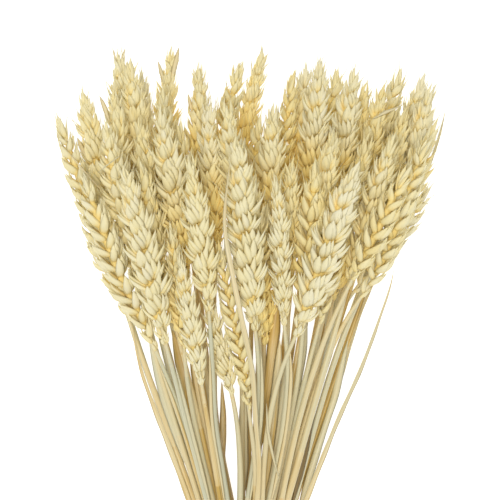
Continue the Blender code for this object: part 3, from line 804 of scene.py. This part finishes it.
# The cover found here is the mask of painted shade on the husks, straws and loose sheaths
def crowding(points, strand, strands):
    """How far the other stalks cover the strand at each point, on the side where it is least."""
    ys = np.linspace(strand.y_start, strand.y_tip, CROWD_STEPS)
    places = strand.centres(ys)[:, ::2]
    ways = np.column_stack((np.sin(CROWD_TURNS), np.cos(CROWD_TURNS)))
    total = np.zeros((CROWD_STEPS, len(ways)))
    for other in strands:
        if other is not strand:
            apart = other.centres(ys)[:, ::2] - places
            away = np.linalg.norm(apart, axis=1)[:, None] + TINY
            facing = np.clip(apart @ ways.T / away, 0, 1)
            total += facing**2 * np.minimum(other.girth(ys)[:, None] / away, 1.0)
    return np.interp(points[..., 1], ys, total.min(axis=1))



def spikelet_husks(strand, rng):
    """The husks of an ear, spikelet by spikelet from its foot, and then those of its tip."""
    length = strand.y_tip - strand.y_base - EAR_TOP_LENGTH
    grown = FIXED_SIZE + SIZE_BY_WIDTH * strand.half_width / EAR_TYPICAL_HALF_WIDTH
    count = round(length / (SPIKELET_PITCH * grown))
    husks = []
    for j in range(count):
        y = strand.y_base + (j + SPIKELET_PLACE) * length / count
        share = (y - strand.y_base) / length
        size = grown * np.interp(share, *SPIKELET_SIZES)
        width = strand.half_width * ear_fullness(min(1.0, share + WIDTH_AHEAD))
        width *= np.interp(share, *FOOT_WIDTHS)
        side = (-1) ** j
        swing = side if j % 4 < 2 else -side
        y += rng.normal(0, SPIKELET_PLACE_SWAY)
        size *= 1 + rng.normal(0, SPIKELET_SIZE_SWAY)
        tilt = swing * SPIKELET_SWING + rng.normal(0, SPIKELET_TILT_SWAY)
        opened = rng.normal(0, SPIKELET_OPEN_SWAY) + np.interp(share, *OPENINGS)
        for hand, *shape in SPIKELET:
            husks.append((y, side, hand * swing, size, width, share, tilt, opened, *shape))
    y = strand.y_tip - EAR_TOP_LENGTH
    width = strand.half_width * EAR_WIDTHS[-1]
    for shape in TOP_HUSKS:
        tilt = rng.normal(0, TOP_TILT_SWAY)
        husks.append((y, 1, 1, 1.0, width, 1.0, tilt, 0.0, *shape))
    return Husk(*(np.array(values) for values in zip(*husks)))


def ear_places(strand, husks, which, sway):
    """Where the base, belly or tip (which 0, 1 or 2) of each husk is.

    The tip takes on all of its spikelet's tilt and opening, the belly half and the base none.
    """
    rise, out, deep = (husks.base, husks.belly, husks.tip)[which].T
    bent = which / 2
    ys = husks.y + rise * husks.size * MM + sway[:, 0]
    out = husks.side * (out + bent * husks.opened) * husks.width + sway[:, 1]
    deep = (husks.hand * deep + bent * husks.tilt) * husks.width + sway[:, 2]
    centre, _, row_way, deep_way = strand.frames(ys)
    return centre + row_way * out[:, None] + deep_way * deep[:, None]


def ear_depths(points, strand, strands):
    """How far out in its ear each point stands, and how far the other stalks cover it: the masks of
    the husks' painted shade.
    """
    middle = strand.centres(points[..., 1].ravel()).reshape(points.shape)
    share = (points[..., 1] - strand.y_base) / (strand.y_tip - strand.y_base)
    room = strand.half_width * np.maximum(ear_fullness(share), EAR_WIDTHS[-1])
    outness = np.linalg.norm(points - middle, axis=2) / room
    outness = np.maximum(outness, np.interp(share, *OUTER_LEAST))
    # The crowding, less towards the tip, sets the husks' painted shade
    crowd_shade = crowding(points, strand, strands) * np.interp(share, *CROWD_SHADE_KEPT)
    return outness, crowd_shade


def dress_ear(skin, strand, strands, shade, rng):
    """The ear: husks in two alternating rows of spikelets, and awns on some of them."""
    husks = spikelet_husks(strand, rng)
    count = len(husks.y)
    aside = HUSK_SWAY * strand.half_width
    sway = rng.normal(0.0, 1.0, (3, count, 3)) * (HUSK_RISE_SWAY, aside, aside)
    sway[0] *= BASE_SWAY_SHARE
    base, belly, tip = (ear_places(strand, husks, which, sway[which]) for which in range(3))
    _, _, row_way, deep_way = strand.frames(husks.y)
    face_out = (husks.side * husks.facing[:, 0])[:, None]
    face_deep = (husks.hand * husks.facing[:, 1])[:, None]
    facing = unit(row_way * face_out + deep_way * face_deep)
    size = husks.size * MM * (1 + rng.normal(0, HUSK_SIZE_SWAY, count))
    size *= (strand.half_width / EAR_TYPICAL_HALF_WIDTH) ** GIRTH_POWER
    half_width, thickness = size * husks.half_width, size * husks.thickness
    points = grow_husks(base, belly, tip, facing, half_width, thickness, husks.keel)
    marks_along, marks_across = shell_marks(HUSK_RISE, ring(HUSK_SIDES)[0])
    marks_along[-1] = 1.0
    tone = np.clip(shade + rng.normal(0, HUSK_TONE_SWAY, count), 0, 1)[:, None]
    marks = (marks_along, marks_across, tone, *ear_depths(points, strand, strands))
    skin.add(points, len(HUSK_RISE), HUSK_SIDES, marks)
    dress_awns(skin, husks, belly, tip, rng)


def dress_heart(skin, strand, strands):
    """What fills the ear between its husks: grain and inner husks, as one long body."""
    ys = np.arange(strand.y_base + 2 * HEART_STEP, strand.y_tip - EAR_TOP_LENGTH, HEART_STEP)
    share = (ys - strand.y_base) / (strand.y_tip - strand.y_base)
    room = strand.half_width * ear_fullness(share)
    room[[0, -1]] *= HEART_ENDS
    room = room[:, None]
    centre, _, row_way, deep_way = strand.frames(ys)
    across, up = ring(HEART_SIDES)
    points = sweep(centre, deep_way, row_way, HEART_DEEP * room * across, HEART_OUT * room * up)
    crowd_shade = crowding(points, strand, strands)
    # The heart's dark tone and its marks are partly painted shade
    marks = (*shell_marks(share * HEART_ALONG, across), HEART_TONE_AND_SHADE, HEART_SHADE_OUTNESS, crowd_shade)
    skin.add(points, len(ys), HEART_SIDES, marks)


def dress_awns(skin, husks, belly, tip, rng):
    """The awns of one ear, at the tips of some of its husks, more and longer near its top."""
    upper = husks.share > AWN_UPPER_SHARE
    grown = rng.random(len(upper)) < np.where(upper, AWN_UPPER_CHANCE, AWN_LOWER_CHANCE)
    low, high = (np.where(upper, *ends) for ends in zip(AWN_LENGTHS, AWN_LOWER_LENGTHS))
    lengths = (low + (high - low) * rng.random(len(upper)) ** AWN_LENGTH_POWER)[grown]
    ways = unit(tip - belly)[grown]
    ways = unit(ways + AWN_WAY_SWAY * rng.normal(size=ways.shape))
    bends = AWN_BEND_SWAY * rng.normal(size=ways.shape)
    points = grow_awns(tip[grown] - ways * AWN_ROOT, ways, lengths, bends)
    marks = (AWN_ALONG, 0.0, AWN_TONE, 1.0, 0.0)
    skin.add(points, AWN_RINGS, AWN_SIDES, marks)


def straw_profile(strand, rng):
    """Where the straw's rings are, their radii, which are on the sheath, and its joint.

    The first two are the bottom of the bore and its rim.
    """
    radius = rng.uniform(*STRAW_RADII)
    joint = rng.uniform(*JOINTS_FROM)
    sheath_end = joint + rng.uniform(*SHEATH_LENGTHS)
    top = strand.y_tip - EAR_TOP_LENGTH
    extra = [joint + JOINT_LENGTH * place for place in JOINT_RINGS]
    extra += [sheath_end - SHEATH_EDGE, sheath_end + SHEATH_EDGE, top]
    extra = [y for y in extra if strand.y_start < y <= top]
    ys = np.unique(np.concatenate((np.arange(strand.y_start, top, STRAW_STEP), extra)))
    neck = strand.y_base - STRAW_NECK_LENGTH
    radii = np.interp(ys, (neck, strand.y_base), (radius, STRAW_NECK_RADIUS))
    in_ear = np.interp(ys, (strand.y_base, strand.y_base + RACHIS_START), (0.0, 1.0))
    radii += (RACHIS_RADIUS - radii) * in_ear
    radii += JOINT_SWELL * np.exp(-JOINT_SHARPNESS * ((ys - joint) / JOINT_LENGTH) ** 2)
    sheathed = (ys > joint) & (ys < sheath_end)
    radii += SHEATH_THICKNESS * sheathed
    ys = np.concatenate(((ys[0] + STRAW_BORE_DEPTH, ys[0]), ys))
    radii = np.concatenate((np.full(2, radii[0] * STRAW_BORE_SHARE), radii))
    return ys, radii, np.concatenate(((0.0, 0.0), sheathed)), joint


def dress_straw(skin, strand, strands, shade, rng):
    """The straw, from its hollow cut end up through the ear, with a joint and a sheath."""
    ys, radii, sheathed, joint = straw_profile(strand, rng)
    centre, _, row_way, deep_way = strand.frames(ys)
    across, up = ring(STRAW_SIDES)
    points = sweep(centre, deep_way, row_way, radii[:, None] * across, radii[:, None] * up)
    marks_along, marks_across = shell_marks(ys, across)
    on_sheath, _ = shell_marks(sheathed, across)
    tone = shade + JOINT_TONE * np.exp(-(((marks_along - joint) / JOINT_LENGTH) ** 2))
    in_ear = np.interp(marks_along, (strand.y_base - RACHIS_FADE, strand.y_base), (0.0, 1.0))
    tone = np.clip(tone + (RACHIS_TONE - tone) * in_ear, 0, STRAW_TONE_MOST)
    crowd_shade = crowding(points, strand, strands)
    marks = (marks_along * STRIPE_RATE, marks_across, tone, on_sheath, crowd_shade)
    skin.add(points, len(ys), STRAW_SIDES, marks, look=STRAW_LOOK)


def waves(ys, size, rate, phase):
    """A value that swings along Y."""
    return size * np.sin(ys * rate + phase)


def flat_strip(centre, forward, twist, half_width, fold, taper):
    """The corners of a thin strip along a line, twisted about it and folded along its middle."""
    side = unit(np.cross(forward, (0.0, 0.0, 1.0)))
    up = np.cross(side, forward)
    twist = twist[:, None]
    width_way = side * np.cos(twist) + up * np.sin(twist)
    face_way = up * np.cos(twist) - side * np.sin(twist)
    bend = fold * half_width[:, None] * (np.abs(STRIP_ACROSS) - 0.5)
    thickness = STRIP_THICKNESS * np.maximum(taper, STRIP_END_THICKNESS)
    heights = bend + thickness[:, None] * STRIP_SHELL
    return sweep(centre, width_way, face_way, half_width[:, None] * STRIP_ACROSS, heights)


def add_strip(skin, ys, points, marks, look=0):
    """Adds a thin strip, marked along and across, then with its tone, outness and crowding."""
    marks_along, marks_across = shell_marks(ys, STRIP_ACROSS)
    marks = (marks_along * STRIPE_RATE, marks_across, *marks)
    skin.add(points, len(ys), len(STRIP_ACROSS), marks, look)


def dress_loose_sheath(skin, strand, strands, line, rng):
    """A dry sheath, strip or spike that lies along part of a stalk or stands out from it."""
    _, points, half_width, lift, tone = line
    downs = np.array([along(down) for down, _ in reversed(points)])
    offsets = np.array([offset * GRID_UNIT for _, offset in reversed(points)])
    ys = np.append(np.arange(downs[0], downs[-1], LOOSE_STEP), downs[-1])
    centre = strand.centres(ys)
    centre[:, 0] += np.interp(ys, downs, offsets)
    centre[:, 2] += STRAW_RADII[1] + lift * MM
    forward = unit(np.gradient(centre, axis=0))
    twist = waves(ys, *LOOSE_TWIST, rng.uniform(*ANY_PHASE))
    taper_length = min(LOOSE_TAPER, LOOSE_TAPER_SHARE * (ys[-1] - ys[0]))
    taper = np.minimum(1.0, np.minimum(ys[-1] - ys, ys - ys[0]) / taper_length)
    taper = np.maximum(taper**STRIP_TAPER_POWER, LOOSE_END_WIDTH)
    wave = 1 + waves(ys, *LOOSE_WAVE, rng.uniform(*ANY_PHASE))
    shell = flat_strip(centre, forward, twist, half_width * MM * taper * wave, LOOSE_FOLD, taper)
    # Painted shade on the wider loose sheaths where other stalks cover them
    crowd_shade = LOOSE_SHADE_SHARE * crowding(shell, strand, strands) * (half_width > CROWDED_HALF_WIDTH)
    add_strip(skin, ys, shell, (tone, 0.0, crowd_shade), look=STRAW_LOOK)


def dress_stalk(strand, strands, number, materials):
    """One stalk of wheat, which stands for its node of the model."""
    rng = np.random.default_rng(LOOKS_SEED + number)
    shade = TONE_OF_SLOT[strand.tone] + rng.normal(0, EAR_TONE_SWAY)
    straw_shade = np.clip(rng.beta(*STRAW_TONE_ODDS), *STRAW_TONE_LIMITS)
    skin = Skin()
    dress_ear(skin, strand, strands, shade, rng)
    dress_heart(skin, strand, strands)
    dress_straw(skin, strand, strands, straw_shade, rng)
    for line in LOOSE_SHEATHS:
        if line[0] == number + 1:
            dress_loose_sheath(skin, strand, strands, line, rng)
    return skin.piece(strand.name.replace("stalk", "wheat"), materials)


def dress_blade(strand, number, materials):
    """A dry leaf blade: a thin strip folded along its middle, which narrows to its tip."""
    rng = np.random.default_rng(BLADES_SEED + number)
    ys = np.arange(strand.y_start, strand.y_tip, BLADE_STEP)
    ys = np.append(ys[ys < strand.y_tip - BLADE_LEAST_STEP], strand.y_tip)
    centre, forward, _, _ = strand.frames(ys)
    twist = waves(ys, *BLADE_TWIST, rng.uniform(*ANY_PHASE)) + rng.uniform(*BLADE_LEAN)
    taper = np.minimum(1.0, (strand.y_tip - ys) / BLADE_TAPER_LENGTH) ** STRIP_TAPER_POWER
    wave = 1 + waves(ys, *BLADE_WAVE, BLADE_WAVE_PHASE)
    half_width = BLADE_HALF_WIDTH * wave * np.maximum(taper, BLADE_END_WIDTH)
    points = flat_strip(centre, forward, twist, half_width, BLADE_FOLD, taper)
    skin = Skin()
    add_strip(skin, ys, points, (rng.uniform(*BLADE_TONES), 1.0, 0.0))
    return skin.piece(strand.name.replace("leaf", "blade"), materials)


def twine_line():
    """The line of the twine, tucked under at its ends: its angles, its places, its ways out."""
    angle = np.linspace(0, math.tau * TWINE_TURNS, TWINE_TURNS * YARN_STEPS_A_TURN + 1)
    free = np.minimum(1.0, np.minimum(angle, angle[-1] - angle) / TWINE_TUCK_ANGLE)
    tuck = 1 - free * free * (3 - 2 * free)
    radius = TIE_INNER_RADIUS + TWINE_RADIUS - TWINE_TUCK_DEPTH * tuck
    pitch = 2 * TWINE_RADIUS * (TWINE_TURNS - 1) / TWINE_TURNS
    radial = np.column_stack((np.cos(angle), 0 * angle, np.sin(angle)))
    centre = radial * radius[:, None]
    centre[:, 1] = pitch * (angle / math.tau - TWINE_TURNS / 2)
    centre[:, 2] += TIE_HEIGHT
    return angle, centre, radial


def dress_twine(materials):
    """The twine: one length wound round the stems, its three yarns laid round each other."""
    angle, centre, radial = twine_line()
    forward = unit(np.gradient(centre, axis=0))
    radial = unit(radial - forward * (radial * forward).sum(axis=1, keepdims=True))
    beside = np.cross(forward, radial)
    lay = (TIE_INNER_RADIUS + TWINE_RADIUS) * angle / YARN_LAY
    across, up = ring(YARN_SIDES)
    skin = Skin()
    for yarn in range(YARNS):
        turn = math.tau * (lay + yarn / YARNS)[:, None]
        middle = centre + YARN_OFFSET * (radial * np.cos(turn) + beside * np.sin(turn))
        points = sweep(middle, radial, beside, YARN_RADIUS * across, YARN_RADIUS * up)
        marks = (*shell_marks(lay, across), YARN_TONE_STEP * yarn, 0.0, 0.0)
        skin.add(points, len(angle), YARN_SIDES, marks)
    return skin.piece("tie", materials)


class Looks:
    """A material and its nodes, added one after the other."""

    def __init__(self, name, roughness):
        self.material = bpy.data.materials.new(name)
        self.material.use_nodes = True
        self.tree = self.material.node_tree
        self.shader = self.tree.nodes["Principled BSDF"].inputs
        self.shader["Roughness"].default_value = roughness

    def feed(self, sockets, values):
        """Links each value that comes from another node to its socket, or sets a plain one."""
        for name, value in values:
            if isinstance(value, bpy.types.NodeSocket):
                self.tree.links.new(value, sockets[name])
            else:
                sockets[name].default_value = value

    def node(self, kind, output, values=(), **settings):
        """One output of a new node, with its settings made and its inputs fed."""
        node = self.tree.nodes.new("ShaderNode" + kind)
        for name, setting in settings.items():
            setattr(node, name, setting)
        self.feed(node.inputs, values)
        return node.outputs[output]

    def mark(self, name):
        """One of the mesh's markings."""
        return self.node("Attribute", "Fac", attribute_name=name)

    def where(self):
        """The place on the object, in metres."""
        return self.node("TexCoord", "Object")

    def math(self, operation, *values):
        """A sum, product or the like of two or three values."""
        return self.node("Math", "Value", enumerate(values), operation=operation)

    def combine(self, *values):
        """A place made of three values."""
        return self.node("CombineXYZ", "Vector", enumerate(values))

    def spread(self, value, low, high, to_low=0.0, to_high=1.0):
        """The value moved smoothly from one range to another, and kept within it."""
        names = ("Value", "From Min", "From Max", "To Min", "To Max")
        values = zip(names, (value, low, high, to_low, to_high))
        return self.node("MapRange", "Result", values, interpolation_type="SMOOTHSTEP")

    def noise(self, place, scale, detail=2.0, roughness=0.5):
        """Soft noise at a place."""
        names = ("Vector", "Scale", "Detail", "Roughness")
        return self.node("TexNoise", "Fac", zip(names, (place, scale, detail, roughness)))

    def ramp(self, value, stops):
        """A colour for the value, from stops of position and colour."""
        colour = self.node("ValToRGB", "Color", [("Fac", value)])
        elements = colour.node.color_ramp.elements
        while len(elements) < len(stops):
            elements.new(0.5)
        for element, (position, shown) in zip(elements, stops):
            element.position = position
            element.color = shown
        return colour

    def mix(self, share, first, second):
        """Two colours mixed."""
        node = self.tree.nodes.new("ShaderNodeMix")
        node.data_type = "RGBA"
        self.feed(node.inputs, [("Factor", share)])
        colours = [socket for socket in node.inputs if socket.type == "RGBA"]
        self.feed(colours, enumerate((first, second)))
        return [socket for socket in node.outputs if socket.type == "RGBA"][0]

    def scaled(self, value, rate):
        """A value times a rate."""
        return self.math("MULTIPLY", value, rate)

    def vary(self, shade, noise, amount):
        """A shade that a noise moves up and down, by the amount in all."""
        return self.math("ADD", shade, self.math("MULTIPLY_ADD", noise, amount, -amount / 2))

    def finish(self, colour, pattern, roughness, relief, strength):
        """The finished material, whose pattern makes it rougher and raised, by relief in metres."""
        rough = self.spread(pattern, *NOISE_RANGE, *roughness)
        names = ("Strength", "Distance", "Height")
        normal = self.node("Bump", "Normal", zip(names, (strength, relief, pattern)))
        names = ("Base Color", "Roughness", "Normal")
        self.feed(self.shader, zip(names, (colour, rough, normal)))
        return self.material


def husk_looks(name):
    """Dry husk: cream and gold with fine veins and a silky gleam, and warm gold painted in as shade
    deep in the ear and where other stalks cover it. Its base is gold, partly its own colour and
    partly painted shade under the husk below.
    """
    looks = Looks(name, roughness=0.5)
    along, across = looks.mark("along"), looks.mark("across")
    tone, outness = looks.mark("tone"), looks.mark("outness")
    place = looks.combine(looks.scaled(across, 1.6), along, looks.scaled(tone, 90.0))
    veins = looks.noise(place, scale=2.6)
    blotches = looks.noise(looks.where(), scale=110.0)
    shade = looks.vary(looks.vary(tone, veins, amount=0.24), blotches, amount=0.16)
    # Painted crevice shade: gold where a husk lies deep in its ear
    deep = looks.spread(outness, low=0.88, high=0.40, to_high=0.72)
    # Gold at each husk's base: partly its own colour, partly painted shade under the husk below
    foot = looks.spread(along, low=0.42, high=0.0, to_high=0.46)
    # Painted shade where other stalks cover the husk
    crowd_shade = looks.spread(looks.mark("crowding"), low=0.05, high=0.9, to_high=0.9)
    # The strongest of the painted crevice shade, base gold and painted cover shade
    shade_and_base_gold = looks.math("MAXIMUM", looks.math("MAXIMUM", deep, foot), crowd_shade)
    colour = looks.mix(shade_and_base_gold, looks.ramp(shade, HUSK_STOPS), HUSK_SHADE_AND_BASE_GOLD)
    specks = looks.noise(looks.where(), scale=900.0, roughness=0.6)
    specks = looks.spread(specks, low=0.70, high=0.80, to_high=0.45)
    colour = looks.mix(specks, colour, HUSK_BROWN)
    looks.feed(looks.shader, [("Specular IOR Level", 0.15)])
    return looks.finish(colour, veins, roughness=(0.52, 0.70), relief=0.00012, strength=0.5)


def straw_looks(name):
    """Smooth straw: long soft stripes, grey-green to peach along and between the stems, with tan
    painted shade where other stalks cover it.
    """
    looks = Looks(name, roughness=0.42)
    along, across = looks.mark("along"), looks.mark("across")
    tone, sheath = looks.mark("tone"), looks.mark("outness")
    seed = looks.scaled(tone, 50.0)
    place = looks.combine(looks.scaled(across, 1.3), along, seed)
    stripes = looks.noise(place, scale=3.2, detail=3.0)
    drift = looks.noise(looks.combine(seed, looks.scaled(along, 2.4), 0.0), scale=2.0)
    shade = looks.vary(looks.vary(tone, drift, amount=0.7), stripes, amount=0.56)
    shade = looks.math("ADD", shade, looks.scaled(sheath, 0.12))
    # Painted shade where other stalks cover the straw
    crowd_shade = looks.spread(looks.mark("crowding"), low=0.1, high=1.0, to_high=0.85)
    colour = looks.mix(crowd_shade, looks.ramp(shade, STRAW_STOPS), STRAW_PAINTED_SHADE)
    return looks.finish(colour, stripes, roughness=(0.34, 0.55), relief=0.0001, strength=0.5)


def jute_looks(name):
    """Coarse brown yarn with fibres that run along it."""
    looks = Looks(name, roughness=0.85)
    along, across = looks.mark("along"), looks.mark("across")
    place = looks.combine(looks.scaled(across, 3.0), along, looks.mark("tone"))
    fibres = looks.noise(place, scale=5.0, detail=4.0, roughness=0.65)
    dirt = looks.noise(looks.where(), scale=300.0)
    dirt = looks.spread(dirt, low=0.3, high=0.8, to_high=0.35)
    colour = looks.mix(dirt, looks.ramp(fibres, JUTE_STOPS), JUTE_DARK)
    return looks.finish(colour, fibres, roughness=(0.95, 0.78), relief=0.0003, strength=0.8)


def add_floor():
    """A plain floor, which belongs to the stage."""
    bpy.ops.mesh.primitive_plane_add(size=FLOOR_SIZE)
    floor = bpy.context.object
    floor.name = "floor"
    looks = Looks("floor", FLOOR_ROUGHNESS)
    names = ("Base Color", "Specular IOR Level", "Emission Color", "Emission Strength")
    looks.feed(looks.shader, zip(names, (FLOOR_COLOUR, FLOOR_SPECULAR, WHITE, FLOOR_GLOW)))
    floor.data.materials.append(looks.material)


def add_light():
    """The even sky and the soft light near the camera."""
    world = bpy.data.worlds.new("studio")
    world.use_nodes = True
    background = world.node_tree.nodes["Background"].inputs
    background["Color"].default_value = WHITE
    background["Strength"].default_value = WORLD_STRENGTH
    bpy.context.scene.world = world
    light = bpy.data.lights.new("key", "AREA")
    light.size = KEY_SIZE
    light.energy = KEY_POWER
    key = new_object("key", light)
    key.location = KEY_PLACE
    aim = Vector((0.0, along(PICTURE_MIDDLE), 0.0)) - Vector(KEY_PLACE)
    key.rotation_euler = aim.to_track_quat("-Z", "Y").to_euler()


def add_camera():
    """The camera, straight above the middle of the picture."""
    camera = bpy.data.cameras.new("camera")
    camera.sensor_width = SENSOR_WIDTH
    reach = CAMERA_HEIGHT - CAMERA_AIM_HEIGHT
    camera.lens = SENSOR_WIDTH * reach / (PICTURE_UNITS * GRID_UNIT)
    holder = new_object("camera", camera)
    holder.location = (across(PICTURE_MIDDLE), along(PICTURE_MIDDLE), CAMERA_HEIGHT)
    bpy.context.scene.camera = holder
    bpy.context.scene.view_settings.view_transform = "Standard"


def keep(piece, node):
    """Says what the piece rides on and hides the node of the model that it stands for."""
    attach(piece, "root")
    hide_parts(node)


def main():
    """Dresses the whole bunch."""
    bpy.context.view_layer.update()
    add_floor()
    add_light()
    add_camera()
    stalks = wheat_strands(np.random.default_rng(SEED))
    blades = leaf_strands()
    settle(stalks + blades)
    husks = {tone: husk_looks(f"husk_{tone}") for tone in TONE_OF_SLOT}
    straws = {tone: straw_looks(f"straw_{tone}") for tone in TONE_OF_SLOT}
    for number, strand in enumerate(stalks):
        materials = (husks[strand.tone], straws[strand.tone])
        piece = dress_stalk(strand, stalks, number, materials)
        keep(piece, strand.name)
    for number, strand in enumerate(blades):
        keep(dress_blade(strand, number, (straws[strand.tone],)), strand.name)
    keep(dress_twine((jute_looks("jute"),)), "twine")


main()
